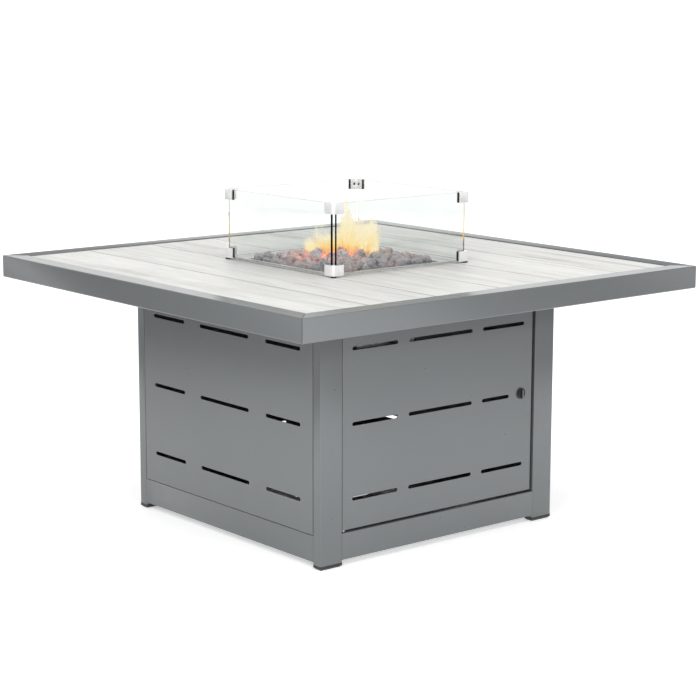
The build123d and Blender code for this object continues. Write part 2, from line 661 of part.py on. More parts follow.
def rock(x, y, low, height, radius, rng):
    """One broken stone: a ruled loft through three uneven rings of corners."""
    rings = []
    for share, size in ((0.0, 0.72), (0.45, 1.0), (1.0, 0.5)):
        points = []
        for k in range(ROCK_SIDES):
            angle = math.tau * k / ROCK_SIDES
            reach = radius * size * rng.uniform(0.82, 1.0)
            points.append((x + reach * math.cos(angle), y + reach * math.sin(angle)))
        rings.append(Pos(0, 0, low + share * height) * make_face(Polyline(*points, close=True)))
    return loft(rings, ruled=True)


def lava_rocks():
    """A bed of stones on the grate, heaped towards the middle."""
    rng = random.Random(ROCK_SEED)
    pitch = (PAN_OPENING - ROCK_GAP) / ROCK_ROWS
    radius = pitch / 2 - ROCK_GAP / 2
    middle = (ROCK_ROWS - 1) / 2
    rocks = []
    for i in range(ROCK_ROWS):
        for j in range(ROCK_ROWS):
            x = (i - middle) * pitch
            y = (j - middle) * pitch
            away = min(1.0, math.hypot(x, y) / (pitch * ROCK_ROWS / 2))
            height = ROCK_LOW + ROCK_MOUND * (1 - away * away) + rng.uniform(0, 4)
            rocks.append(rock(x, y, GRATE_TOP, height, radius, rng))
    return rocks


def igniter_electrode():
    """The spark rod beside the ring, in its ceramic sleeve."""
    floor = PAN_FLOOR + PAN_SHEET
    sleeve = rod_z(floor, floor + ELECTRODE_SLEEVE, ELECTRODE_OFFSET, 0, ELECTRODE_SLEEVE_RADIUS)
    sleeve = fillet(sleeve.faces().sort_by(Axis.Z)[-1].edges(), 1)
    top = floor + ELECTRODE_SLEEVE
    return sleeve + rod_z(top, top + ELECTRODE_TIP, ELECTRODE_OFFSET, 0, ELECTRODE_RADIUS)


# --------------------------------------------------------------- controls
def control_plate():
    x0 = CONTROL_CENTRE - PLATE_WIDTH / 2
    x1 = CONTROL_CENTRE + PLATE_WIDTH / 2
    plate = block(x0, x1, PLATE_FRONT, PLATE_BACK, TOP_RAIL_BOTTOM - PLATE_DROP, BEAM_BOTTOM)
    plate = plate - rod_y(PLATE_FRONT, PLATE_BACK, VALVE_X, CONTROL_Z, 2 * VALVE_SPINDLE_RADIUS)
    return plate - rod_y(PLATE_FRONT, PLATE_BACK, IGNITER_X, CONTROL_Z, IGNITER_RADIUS)


def gas_valve():
    half = VALVE_WIDTH / 2
    back = PLATE_BACK + VALVE_LENGTH
    body = block(VALVE_X - half, VALVE_X + half, PLATE_BACK, back, CONTROL_Z - half, CONTROL_Z + half)
    body = chamfer(body.edges().filter_by(Axis.Y), half / 4)
    body = body + rod_y(back, back + PIPE_NUT, VALVE_X, CONTROL_Z, PIPE_NUT_RADIUS)
    bore = VALVE_SPINDLE_RADIUS + RUNNING_CLEARANCE
    body = body - rod_y(PLATE_BACK, PLATE_BACK + VALVE_BORE_DEPTH, VALVE_X, CONTROL_Z, bore)
    return body - rod_y(back, back + PIPE_NUT, VALVE_X, CONTROL_Z, PIPE_RADIUS)


def inlet_fitting():
    """The threaded union for the supply hose, pointing down."""
    y = PLATE_BACK + VALVE_LENGTH / 2
    top = CONTROL_Z - VALVE_WIDTH / 2
    shoulder = top - INLET_HEX
    end = shoulder - INLET_LENGTH
    fitting = hex_z(shoulder, top, VALVE_X, y, INLET_HEX_RADIUS)
    fitting += rod_z(end, shoulder, VALVE_X, y, INLET_RADIUS)
    return fitting - rod_z(end, top, VALVE_X, y, INLET_BORE_RADIUS)


def gas_pipe():
    """The rigid pipe from the valve to the mixing tube."""
    start = (VALVE_X, PLATE_BACK + VALVE_LENGTH, CONTROL_Z)
    turn = (VALVE_X, 0, CONTROL_Z)
    end = (PIPE_RADIUS - MIXER_RADIUS, 0, CONTROL_Z)
    path = FilletPolyline(start, turn, end, radius=PIPE_BEND)
    section = Plane(origin=start, z_dir=(0, 1, 0)) * (Circle(PIPE_RADIUS) - Circle(PIPE_RADIUS - PIPE_WALL))
    return sweep(section, path=path)


def control_knob():
    back = PLATE_FRONT - KNOB_GAP
    front = back - KNOB_LENGTH
    knob = rod_y(front, back, VALVE_X, CONTROL_Z, KNOB_RADIUS)
    knob = fillet(knob.faces().sort_by(Axis.Y)[0].edges(), 2)
    for side in (-1, 1):
        scoop = block(
            VALVE_X + side * KNOB_GRIP,
            VALVE_X + side * 2 * KNOB_RADIUS,
            front,
            front + KNOB_LENGTH / 2,
            CONTROL_Z - KNOB_RADIUS,
            CONTROL_Z + KNOB_RADIUS,
        )
        knob = knob - scoop
    end = PLATE_BACK + VALVE_BORE_DEPTH - BUTTON_SPARE
    return knob + rod_y(back, end, VALVE_X, CONTROL_Z, VALVE_SPINDLE_RADIUS)


def igniter_body():
    front = PLATE_FRONT - IGNITER_COLLAR
    bore = BUTTON_RADIUS + BUTTON_CLEARANCE
    depth = BUTTON_LENGTH - BUTTON_PROUD + BUTTON_TRAVEL + BUTTON_SPARE
    body = rod_y(PLATE_FRONT, PLATE_FRONT + IGNITER_LENGTH, IGNITER_X, CONTROL_Z, IGNITER_RADIUS)
    body = body + rod_y(front, PLATE_FRONT, IGNITER_X, CONTROL_Z, IGNITER_COLLAR_RADIUS)
    return body - rod_y(front, front + depth, IGNITER_X, CONTROL_Z, bore)


def igniter_button():
    front = PLATE_FRONT - IGNITER_COLLAR - BUTTON_PROUD
    button = rod_y(front, front + BUTTON_LENGTH, IGNITER_X, CONTROL_Z, BUTTON_RADIUS)
    return fillet(button.faces().sort_by(Axis.Y)[0].edges(), 1.5)


# ------------------------------------------------------------ glass guard
def front_pane():
    half = GUARD_HALF - GLASS_CORNER_SPACE
    pane = block(-half, half, -GUARD_HALF, GLASS_THICKNESS - GUARD_HALF, GLASS_BOTTOM, GLASS_TOP)
    return chamfer(pane.edges().filter_by(Axis.X), 0.5)


def clip_slot(z0, z1):
    """The groove for the pane along X and its liner, in the clip at (-, -)."""
    x0 = -GUARD_HALF + GLASS_CORNER_SPACE - LINER
    y0 = -GUARD_HALF - LINER
    return block(x0, -CLIP_OUTER + CLIP_LENGTH + LINER_PROUD, y0, y0 + GLASS_THICKNESS + 2 * LINER, z0, z1)


def mirrored_pair(shape):
    """The shape and its mirror image across the corner's diagonal."""
    return [shape, mirror(shape, Plane(origin=(0, 0, 0), z_dir=(1, -1, 0)))]


def set_screws(z):
    """Two grub screws through the clip's inner walls."""
    x = -CLIP_OUTER + CLIP_LENGTH / 2 + CLIP_WALL * 2
    back = -CLIP_INNER + SET_SCREW_PROUD
    screw = rod_y(-CLIP_INNER - CLIP_WALL, back, x, z, SET_SCREW_RADIUS)
    return mirrored_pair(screw)


def clip(z0, z1, floor):
    """One L-shaped clip at (-, -). A lower clip has a floor under the glass."""
    end = -CLIP_OUTER + CLIP_LENGTH
    body = block(-CLIP_OUTER, end, -CLIP_OUTER, -CLIP_INNER, z0, z1)
    body = body + block(-CLIP_OUTER, -CLIP_INNER, -CLIP_OUTER, end, z0, z1)
    upright = body.edges().filter_by(Axis.Z)
    corner = upright.sort_by(lambda edge: edge.center().X + edge.center().Y)[0]
    body = chamfer(corner, CLIP_CHAMFER)
    for slot in mirrored_pair(clip_slot(z0 + floor, z1)):
        body = body - slot
    for screw in set_screws((z0 + z1) / 2):
        body = body - screw
    return body


def liners(z0, z1, floor):
    """The rubber channels over both panes' ends in the clip at (-, -)."""
    inside = -GUARD_HALF + GLASS_CORNER_SPACE
    end = -CLIP_OUTER + CLIP_LENGTH + LINER_PROUD
    glass = block(inside, end, -GUARD_HALF, GLASS_THICKNESS - GUARD_HALF, z0 + floor, z1)
    return mirrored_pair(clip_slot(z0 + floor, z1) - glass)


def guard_foot():
    """A round pad under the lower clip at (-, -)."""
    middle = -(CLIP_OUTER + CLIP_INNER) / 2
    top = GLASS_BOTTOM - CLIP_FLOOR
    pad = rod_z(PLANK_TOP, top, middle, middle, GUARD_FOOT_RADIUS)
    return pad


def at_corners(shapes):
    """Copies of the shapes at the guard's four corners, where the guard stands."""
    place = Pos(GUARD_SHIFT_X, GUARD_SHIFT_Y, 0)
    return [place * Rot(0, 0, 90 * k) * shape for k in range(4) for shape in shapes]


# ------------------------------------------------------------------ build
os.makedirs("parts", exist_ok=True)

SIDE_NAMES = {(-1, -1): "front_left", (1, -1): "front_right", (1, 1): "back_right", (-1, 1): "back_left"}
for corner_sign, corner_name in SIDE_NAMES.items():
    save(f"leg_{corner_name}", leg(*corner_sign))
save("foot_caps", *[foot_cap(*corner_sign) for corner_sign in CORNERS])

pins = hinge_pins()
save("bottom_rail_front", cross_rail(-1, RAIL_LIFT, RAIL_TOP) - pins[0])
save("bottom_rail_back", cross_rail(1, RAIL_LIFT, RAIL_TOP))
save("bottom_rail_left", side_rail(-1, RAIL_LIFT, RAIL_TOP))
save("bottom_rail_right", side_rail(1, RAIL_LIFT, RAIL_TOP))
save("top_rail_front", cross_rail(-1, TOP_RAIL_BOTTOM, BEAM_BOTTOM) - pins[1])
save("top_rail_back", cross_rail(1, TOP_RAIL_BOTTOM, BEAM_BOTTOM))
save("top_rail_left", side_rail(-1, TOP_RAIL_BOTTOM, BEAM_BOTTOM))
save("top_rail_right", side_rail(1, TOP_RAIL_BOTTOM, BEAM_BOTTOM))
save("floor_plate", floor_plate())

save("side_panel_left", side_panel(-1))
save("side_panel_right", side_panel(1))
save("back_panel", back_panel())
save("panel_rivets", *RIVETS)
save("door", door())
save("door_hinge_pins", *pins)
save("door_hinge_bushes", *hinge_bushes())
save("latch_housing", latch_housing())
save("latch_nut", latch_nut())
save("latch_knob", latch_knob())
save("latch_cam", latch_cam())

save("rim_front", rim_member(TABLE_WIDTH, HALF_D, 0))
save("rim_right", rim_member(TABLE_DEPTH, HALF_W, 90))
save("rim_back", rim_member(TABLE_WIDTH, HALF_D, 180))
save("rim_left", rim_member(TABLE_DEPTH, HALF_W, 270))
for number, (left_edge, right_edge) in enumerate(plank_edges(), 1):
    save(f"ceramic_plank_{number}", plank(left_edge, right_edge))
save("edge_seal", edge_seal())
save("tile_backer", tile_backer())
outer_line = BASE_D - RAIL_DEPTH / 2
outer_beams = [long_beam(-outer_line), long_beam(outer_line)]
inner_beams = [long_beam(-BEAM_OFFSET), long_beam(BEAM_OFFSET), short_beam(-1), short_beam(1)]
save("top_beams", *outer_beams, *inner_beams)

save("burner_pan", burner_pan())
save("burner_ring", burner_ring())
save("air_mixer", air_mixer())
save("rock_grate", rock_grate())
save("lava_rocks", *lava_rocks())
save("igniter_electrode", igniter_electrode())

save("control_plate", control_plate())
save("gas_valve", gas_valve())
save("inlet_fitting", inlet_fitting())
save("gas_pipe", gas_pipe())
save("control_knob", control_knob())
save("igniter_body", igniter_body())
save("igniter_button", igniter_button())

for side_name, pane in zip(("front", "right", "back", "left"), at_corners([front_pane()])):
    save(f"glass_{side_name}", pane)
lower = (GLASS_BOTTOM - CLIP_FLOOR, GLASS_BOTTOM - CLIP_FLOOR + CLIP_HEIGHT, CLIP_FLOOR)
upper = (GLASS_TOP - CLIP_HEIGHT, GLASS_TOP, 0.0)
save("guard_clips_lower", *at_corners([clip(*lower)]))
save("guard_clips_upper", *at_corners([clip(*upper)]))
save("guard_clip_liners", *at_corners(liners(*lower) + liners(*upper)))
grub_low = set_screws(lower[0] + CLIP_HEIGHT / 2)
grub_high = set_screws(upper[0] + CLIP_HEIGHT / 2)
save("guard_set_screws", *at_corners(grub_low + grub_high))
save("guard_feet", *at_corners([guard_foot()]))
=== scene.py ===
import json
import math
import random

import bmesh
import bpy
from mathutils import Matrix, Vector, noise


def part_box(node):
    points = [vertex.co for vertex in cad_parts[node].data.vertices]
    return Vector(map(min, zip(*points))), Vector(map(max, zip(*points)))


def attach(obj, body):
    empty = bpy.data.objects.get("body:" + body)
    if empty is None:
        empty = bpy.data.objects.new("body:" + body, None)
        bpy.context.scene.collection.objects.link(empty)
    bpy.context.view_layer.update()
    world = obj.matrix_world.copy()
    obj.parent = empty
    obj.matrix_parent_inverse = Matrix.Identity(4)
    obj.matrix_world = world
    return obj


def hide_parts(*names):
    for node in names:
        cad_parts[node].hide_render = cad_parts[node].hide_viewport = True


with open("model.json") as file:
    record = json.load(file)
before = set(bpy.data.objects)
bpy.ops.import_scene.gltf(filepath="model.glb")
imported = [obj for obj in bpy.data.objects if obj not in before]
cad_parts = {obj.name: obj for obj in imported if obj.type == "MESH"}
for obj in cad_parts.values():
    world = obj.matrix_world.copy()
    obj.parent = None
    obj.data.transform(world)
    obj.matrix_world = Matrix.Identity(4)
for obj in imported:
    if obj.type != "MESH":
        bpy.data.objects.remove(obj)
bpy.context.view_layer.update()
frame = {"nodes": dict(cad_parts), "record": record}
NODES = frame["nodes"]
PI = math.pi
# Centre of the painted firelight glow on the lava stones.
GLOW_CENTRE = (-0.035, 0.010, 0.655)
WELD_DISTANCE = 0.00002
FLAT_ANGLE = 0.01
CREASE_ANGLE = math.radians(40)
FLAME_SINK = 0.022
SQUARE_ON = 0.7
TONE_AVERAGE = 0.09


def span(node):
    """A node's lowest and highest corner as vectors."""
    low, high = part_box(node)
    return Vector(low), Vector(high)


# ------------------------------------------------------------------ camera
def make_camera():
    data = bpy.data.cameras.new("camera")
    data.sensor_width = 36.0
    data.lens = 101.32
    data.clip_start = 0.05
    data.clip_end = 900.0
    camera = bpy.data.objects.new("camera", data)
    camera.location = (-3.0131, -3.6770, 1.2970)
    camera.rotation_euler = (math.radians(79.43), math.radians(-0.116), math.radians(-39.50))
    bpy.context.scene.collection.objects.link(camera)
    bpy.context.scene.camera = camera


make_camera()


# --------------------------------------------------------- shader helpers
class Tree:
    """Short calls for laying out nodes and their links."""

    def __init__(self, tree):
        self.tree = tree

    def node(self, kind, values=None, **settings):
        made = self.tree.nodes.new(kind)
        for key, value in settings.items():
            setattr(made, key, value)
        for key, value in (values or {}).items():
            if isinstance(value, bpy.types.NodeSocket):
                self.tree.links.new(value, made.inputs[key])
            else:
                made.inputs[key].default_value = value
        return made

    def maths(self, operation, a, b=0.0, clamp=False):
        made = self.node("ShaderNodeMath", {0: a, 1: b}, operation=operation, use_clamp=clamp)
        return made.outputs[0]

    def mix(self, factor, a, b, blend="MIX"):
        made = self.node("ShaderNodeMix", {0: factor, 6: a, 7: b}, data_type="RGBA", blend_type=blend)
        return made.outputs[2]

    def blend(self, factor, a, b):
        made = self.node("ShaderNodeMix", {0: factor, 2: a, 3: b}, data_type="FLOAT")
        return made.outputs[0]

    def ramp(self, factor, *stops):
        made = self.node("ShaderNodeValToRGB", {0: factor})
        elements = made.color_ramp.elements
        while len(elements) > 1:
            elements.remove(elements[-1])
        elements[0].position = stops[0][0]
        elements[0].color = colour(stops[0][1])
        for place, value in stops[1:]:
            elements.new(place).color = colour(value)
        return made.outputs[0]

    def noise(self, vector, scale, detail=2.0, rough=0.5, distortion=0.0):
        values = {"Vector": vector, "Scale": scale, "Detail": detail}
        values.update({"Roughness": rough, "Distortion": distortion})
        return self.node("ShaderNodeTexNoise", values).outputs[0]

    def coords(self, scale=(1, 1, 1), offset=(0, 0, 0), turn=(0, 0, 0)):
        place = self.node("ShaderNodeTexCoord").outputs["Object"]
        values = {"Vector": place, "Scale": scale, "Location": offset, "Rotation": turn}
        return self.node("ShaderNodeMapping", values).outputs[0]

    def vector(self, operation, values, output=0):
        return self.node("ShaderNodeVectorMath", values, operation=operation).outputs[output]

    def spread(self, value, *limits):
        """Maps a value from the first two limits to the last two, which are 0 and 1 if left out."""
        values = {0: value}
        values.update((k + 1, limit) for k, limit in enumerate(limits))
        return self.node("ShaderNodeMapRange", values).outputs[0]


def colour(value):
    if isinstance(value, (int, float)):
        return (value, value, value, 1.0)
    return tuple(value) + (1.0,) if len(value) == 3 else tuple(value)


def group(name, inputs, outputs, build):
    """A shader node group with named inputs and outputs."""
    tree = bpy.data.node_groups.new(name, "ShaderNodeTree")
    for label, kind, value in inputs:
        socket = tree.interface.new_socket(label, in_out="INPUT", socket_type=kind)
        socket.default_value = value
    for label, kind in outputs:
        tree.interface.new_socket(label, in_out="OUTPUT", socket_type=kind)
    kit = Tree(tree)
    start = kit.node("NodeGroupInput")
    end = kit.node("NodeGroupOutput")
    for label, socket in build(kit, start.outputs).items():
        tree.links.new(socket, end.inputs[label])
    return tree


FLOAT, COLOUR, VECTOR = "NodeSocketFloat", "NodeSocketColor", "NodeSocketVector"


def build_edge_wear(kit, given):
    """A mask along convex edges, broken up by noise."""
    bevel = kit.node("ShaderNodeBevel", {"Radius": given["Width"]}, samples=4)
    normal = kit.node("ShaderNodeNewGeometry").outputs["Normal"]
    dot = kit.vector("DOT_PRODUCT", {0: bevel.outputs[0], 1: normal}, "Value")
    edge = kit.maths("SUBTRACT", 1.0, dot, clamp=True)
    grain = kit.noise(kit.coords(), given["Scale"], 4.0, 0.6)
    mask = kit.maths("MULTIPLY", kit.maths("MULTIPLY", edge, 6.0, clamp=True), grain, clamp=True)
    return {"Mask": kit.maths("MULTIPLY", mask, given["Amount"], clamp=True)}


def build_powder_coat(kit, given):
    """Fine even grain, a slow drift in tone and faint handling marks."""
    place = kit.coords()
    grain = kit.noise(place, 900.0, 2.0, 0.5)
    drift = kit.noise(place, 2.2, 3.0, 0.5)
    marks = kit.noise(place, 35.0, 5.0, 0.65)
    slow = kit.maths("MULTIPLY", drift, given["Drift"])
    tone = kit.maths("ADD", slow, kit.maths("MULTIPLY", grain, given["Grain"]))
    level = kit.maths("ADD", tone, 1.0 - TONE_AVERAGE)
    tinted = kit.vector("SCALE", {0: given["Paint"], "Scale": level})
    handled = kit.maths("MULTIPLY", kit.maths("SUBTRACT", marks, 0.5), 0.12)
    rough = kit.maths("ADD", given["Roughness"], handled)
    return {"Color": tinted, "Roughness": rough, "Height": grain}


def build_brushed(kit, given):
    """Fine lines along one axis of the piece."""
    place = kit.node("ShaderNodeTexCoord").outputs["Object"]
    lines = kit.vector("MULTIPLY", {0: place, 1: given["Stretch"]})
    fine = kit.noise(lines, 40.0, 4.0, 0.7)
    coarse = kit.noise(place, 60.0, 3.0, 0.6)
    level = kit.maths("ADD", 0.82, kit.maths("MULTIPLY", fine, 0.36))
    tinted = kit.vector("SCALE", {0: given["Metal"], "Scale": level})
    uneven = kit.maths("ADD", kit.maths("MULTIPLY", fine, 0.20), kit.maths("MULTIPLY", coarse, 0.12))
    rough = kit.maths("ADD", given["Roughness"], kit.maths("SUBTRACT", uneven, 0.16))
    return {"Color": tinted, "Roughness": rough, "Height": fine}


def build_speckle(kit, given):
    """Two tones mixed by a broken noise, for moulded and mineral surfaces."""
    place = kit.coords()
    patch = kit.noise(place, given["Scale"], 6.0, 0.62)
    fine = kit.noise(place, kit.maths("MULTIPLY", given["Scale"], 9.0), 3.0, 0.6)
    amount = kit.maths("ADD", kit.maths("MULTIPLY", patch, 0.7), kit.maths("MULTIPLY", fine, 0.3))
    share = kit.spread(amount, 0.36, 0.64)
    uneven = kit.maths("MULTIPLY", kit.maths("SUBTRACT", fine, 0.5), 0.25)
    rough = kit.maths("ADD", given["Roughness"], uneven)
    return {"Color": kit.mix(share, given["Dark"], given["Light"]), "Roughness": rough, "Height": amount}


EDGE_WEAR = group(
    "edge_wear",
    [("Width", FLOAT, 0.002), ("Scale", FLOAT, 80.0), ("Amount", FLOAT, 0.5)],
    [("Mask", FLOAT)],
    build_edge_wear,
)
POWDER_COAT = group(
    "powder_coat",
    [
        ("Paint", COLOUR, colour(0.2)),
        ("Roughness", FLOAT, 0.35),
        ("Drift", FLOAT, 0.10),
        ("Grain", FLOAT, 0.06),
    ],
    [("Color", COLOUR), ("Roughness", FLOAT), ("Height", FLOAT)],
    build_powder_coat,
)
BRUSHED = group(
    "brushed",
    [("Metal", COLOUR, colour(0.6)), ("Roughness", FLOAT, 0.25), ("Stretch", VECTOR, (1.0, 30.0, 30.0))],
    [("Color", COLOUR), ("Roughness", FLOAT), ("Height", FLOAT)],
    build_brushed,
)
SPECKLE = group(
    "speckle",
    [
        ("Dark", COLOUR, colour(0.1)),
        ("Light", COLOUR, colour(0.3)),
        ("Scale", FLOAT, 60.0),
        ("Roughness", FLOAT, 0.6),
    ],
    [("Color", COLOUR), ("Roughness", FLOAT), ("Height", FLOAT)],
    build_speckle,
)


def material(name, **constants):
    """A material whose shader holds the plain values given."""
    made = bpy.data.materials.new(name)
    made.use_nodes = True
    made.node_tree.nodes.clear()
    kit = Tree(made.node_tree)
    plain = {key.replace("_", " "): value for key, value in constants.items()}
    shader = kit.node("ShaderNodeBsdfPrincipled", plain)
    out = kit.node("ShaderNodeOutputMaterial")
    made.node_tree.links.new(shader.outputs[0], out.inputs[0])
    return made, kit, shader


def use_group(kit, tree, **values):
    made = kit.node("ShaderNodeGroup", node_tree=tree)
    for key, value in values.items():
        if isinstance(value, bpy.types.NodeSocket):
            kit.tree.links.new(value, made.inputs[key])
        else:
            made.inputs[key].default_value = value
    return made.outputs


def bump(kit, shader, height, strength, distance):
    made = kit.node("ShaderNodeBump", {"Height": height, "Strength": strength, "Distance": distance})
    kit.tree.links.new(made.outputs[0], shader.inputs["Normal"])


def link(kit, socket, shader, name):
    kit.tree.links.new(socket, shader.inputs[name])


# -------------------------------------------------------------- materials
def paint_material(name, paint, roughness, metallic):
    made, kit, shader = material(name, Metallic=metallic)
    coat = use_group(kit, POWDER_COAT, Paint=colour(paint), Roughness=roughness)
    wear = use_group(kit, EDGE_WEAR, Width=0.0012, Scale=120.0, Amount=0.22)["Mask"]
    link(kit, kit.mix(wear, coat["Color"], colour((0.42, 0.43, 0.43))), shader, "Base Color")
    link(kit, coat["Roughness"], shader, "Roughness")
    bump(kit, shader, coat["Height"], 0.12, 0.0002)
    return made


def metal_material(name, metal, roughness, stretch):
    made, kit, shader = material(name, Metallic=1.0)
    brushed = use_group(kit, BRUSHED, Metal=colour(metal), Roughness=roughness, Stretch=stretch)
    link(kit, brushed["Color"], shader, "Base Color")
    link(kit, brushed["Roughness"], shader, "Roughness")
    bump(kit, shader, brushed["Height"], 0.10, 0.0002)
    return made


def speckle_material(name, dark, light, scale, roughness, height, metallic=0.0):
    made, kit, shader = material(name, Metallic=metallic)
    tones = {"Dark": colour(dark), "Light": colour(light)}
    speckle = use_group(kit, SPECKLE, Scale=scale, Roughness=roughness, **tones)
    link(kit, speckle["Color"], shader, "Base Color")
    link(kit, speckle["Roughness"], shader, "Roughness")
    bump(kit, shader, speckle["Height"], height, 0.0005)
    return made


def plank_material(number):
    """Matt tile printed with a pale wood grain that runs along the plank, with painted shade on its long
    side walls.
    """
    made, kit, shader = material(f"ceramic_{number}", IOR=1.45)
    shift = (0.37 * number, 1.93 * number, 0.0)
    fibres = kit.noise(kit.coords((55.0, 1.6, 1.0), shift), 3.0, 8.0, 0.62, 0.4)
    bands = kit.noise(kit.coords((9.0, 0.55, 1.0), shift), 2.2, 5.0, 0.55, 1.4)
    pores = kit.noise(kit.coords((420.0, 9.0, 1.0), shift), 2.0, 3.0, 0.5)
    cloud = kit.noise(kit.coords((1.0, 1.0, 1.0), shift), 3.2, 3.0, 0.5)
    grain = kit.maths("ADD", kit.maths("MULTIPLY", fibres, 0.50), kit.maths("MULTIPLY", bands, 0.50))
    tone = kit.ramp(
        grain,
        (0.30, (0.400, 0.385, 0.360)),
        (0.40, (0.560, 0.550, 0.525)),
        (0.50, (0.672, 0.667, 0.645)),
        (0.64, (0.730, 0.728, 0.708)),
    )
    streaks = kit.ramp(pores, (0.32, 0.80), (0.47, 1.0))
    tone = kit.mix(1.0, tone, streaks, "MULTIPLY")
    tone = kit.mix(1.0, tone, kit.ramp(cloud, (0.30, 0.94), (0.70, 1.0)), "MULTIPLY")
    # Painted shade: the side walls that face across the planks are darkened to stand for the shade in the
    # joints between them.
    normal = kit.node("ShaderNodeNewGeometry").outputs["Normal"]
    wall = kit.maths("ABSOLUTE", kit.node("ShaderNodeSeparateXYZ", {0: normal}).outputs[0])
    joint_shade = kit.spread(wall, 0.25, 0.60)
    tone = kit.mix(joint_shade, tone, colour((0.150, 0.135, 0.115)))
    link(kit, tone, shader, "Base Color")
    link(kit, kit.blend(grain, 0.62, 0.42), shader, "Roughness")
    bump(kit, shader, kit.maths("ADD", grain, kit.maths("MULTIPLY", pores, 0.3)), 0.25, 0.0006)
    return made


def glass_material(name, axis):
    """Clear panes with the green-grey that shows through their cut edges, and painted shade, near black, on
    their bottom faces.
    """
    made, kit, shader = material(name, Transmission_Weight=1.0, IOR=1.46)
    normal = kit.node("ShaderNodeNewGeometry").outputs["Normal"]
    facing = kit.maths("ABSOLUTE", kit.node("ShaderNodeSeparateXYZ", {0: normal}).outputs[axis])
    up = kit.node("ShaderNodeSeparateXYZ", {0: normal}).outputs[2]
    # Painted shade: faces that point down are coloured near black, for the dark line of shade along the foot
    # of each pane.
    shaded_underside = kit.maths("LESS_THAN", up, -SQUARE_ON)
    edge = kit.mix(shaded_underside, colour((0.30, 0.35, 0.32)), colour((0.05, 0.06, 0.055)))
    pane = kit.maths("GREATER_THAN", facing, SQUARE_ON)
    tone = kit.mix(pane, edge, colour((0.955, 0.975, 0.965)))
    smears = kit.noise(kit.coords(), 9.0, 4.0, 0.6)
    film = kit.ramp(smears, (0.4, 0.0), (0.8, 0.6))
    tone = kit.mix(film, tone, colour((0.94, 0.955, 0.945)), "MULTIPLY")
    link(kit, tone, shader, "Base Color")
    link(kit, kit.spread(smears, 0.45, 0.75, 0.0, 0.035), shader, "Roughness")
    return made


def latch_material():
    """Black moulded knob whose finger bar, the part that stands furthest forward, is coloured lighter."""
    made, kit, shader = material("latch_knob")
    speckle = use_group(kit, SPECKLE, Dark=colour(0.006), Light=colour(0.014), Scale=200.0, Roughness=0.58)
    front = span("latch_knob")[0].y
    depth = kit.node("ShaderNodeSeparateXYZ", {0: kit.coords()}).outputs[1]
    bar = kit.spread(depth, front + 0.0010, front + 0.0003)
    link(kit, kit.mix(bar, speckle["Color"], colour((0.13, 0.125, 0.11))), shader, "Base Color")
    link(kit, speckle["Roughness"], shader, "Roughness")
    bump(kit, shader, speckle["Height"], 0.15, 0.0003)
    return made


def rock_material():
    """Broken lava: grey to red brown, pitted, with painted shade in the pits and a painted glow of firelight
    round the flame's foot.
    """
    made, kit, shader = material("lava_rock", Emission_Strength=0.9)
    place = kit.coords()
    patch = kit.noise(place, 16.0, 3.0, 0.5)
    fine = kit.noise(place, 170.0, 5.0, 0.7)
    pits = kit.node("ShaderNodeTexVoronoi", {"Vector": place, "Scale": 210.0, "Randomness": 1.0}).outputs[0]
    tone = kit.ramp(
        patch,
        (0.34, (0.230, 0.215, 0.240)),
        (0.45, (0.400, 0.380, 0.415)),
        (0.56, (0.430, 0.310, 0.285)),
        (0.68, (0.280, 0.245, 0.260)),
    )
    tone = kit.mix(kit.ramp(fine, (0.44, 0.0), (0.70, 0.70)), tone, colour((0.74, 0.71, 0.73)))
    # Painted shade: the pits are coloured near black for the shade in their hollows.
    tone = kit.mix(kit.ramp(pits, (0.06, 0.85), (0.30, 0.0)), tone, colour((0.045, 0.038, 0.040)))
    link(kit, tone, shader, "Base Color")
    shader.inputs["Roughness"].default_value = 0.88
    height = kit.maths("ADD", kit.maths("MULTIPLY", pits, 0.8), fine)
    bump(kit, shader, height, 0.8, 0.0018)
    # Painted light: the stones round the flame's foot glow orange in broken patches, standing for the
    # firelight that falls on them.
    away = kit.vector("DISTANCE", {0: place, 1: GLOW_CENTRE}, "Value")
    near = kit.spread(away, 0.115, 0.020)
    broken = kit.ramp(kit.noise(place, 42.0, 4.0, 0.6), (0.46, 0.0), (0.66, 1.0))
    painted_glow = kit.maths("MULTIPLY", broken, near)
    glow = kit.ramp(
        painted_glow,
        (0.0, 0.0),
        (0.25, (0.42, 0.065, 0.010)),
        (0.70, (0.90, 0.20, 0.025)),
        (1.0, (1.0, 0.46, 0.10)),
    )
    link(kit, glow, shader, "Emission Color")
    return made


PAINT = paint_material("satin_grey", (0.162, 0.172, 0.176), 0.30, 0.45)
STEEL_X = metal_material("brushed_steel_x", (0.72, 0.71, 0.69), 0.24, (1.0, 30.0, 30.0))
STEEL_PAN = metal_material("bright_flange", (0.86, 0.86, 0.85), 0.34, (1.0, 30.0, 30.0))
MILL = metal_material("mill_finish", (0.60, 0.61, 0.62), 0.38, (1.0, 12.0, 12.0))
BRASS = metal_material("machined_brass", (0.78, 0.56, 0.24), 0.28, (30.0, 1.0, 30.0))
BLACK = speckle_material("moulded_black", 0.012, 0.030, 240.0, 0.48, 0.20)
NYLON = speckle_material("nylon", 0.62, 0.72, 160.0, 0.45, 0.10)
RUBBER = speckle_material("black_rubber", 0.010, 0.022, 300.0, 0.62, 0.20)
# Painted shade: the sealant bead in the gap round the tiles is coloured near black as the shade in that gap.
SEALANT_AND_SHADE = speckle_material("dark_sealant", 0.020, 0.045, 120.0, 0.55, 0.25)
BOARD = speckle_material("cement_board", (0.075, 0.068, 0.060), (0.14, 0.13, 0.115), 45.0, 0.9, 0.5)
BARS = speckle_material("blackened_steel", 0.03, 0.09, 70.0, 0.6, 0.4, 0.7)
WHITE_GLAZE = speckle_material("white_glaze", 0.72, 0.84, 30.0, 0.22, 0.05)
GLASS_X = glass_material("clear_glass_x", 0)
GLASS_Y = glass_material("clear_glass_y", 1)
LATCH = latch_material()
CLIP = speckle_material("satin_clip", 0.76, 0.88, 120.0, 0.34, 0.05, 0.45)
ROCK = rock_material()


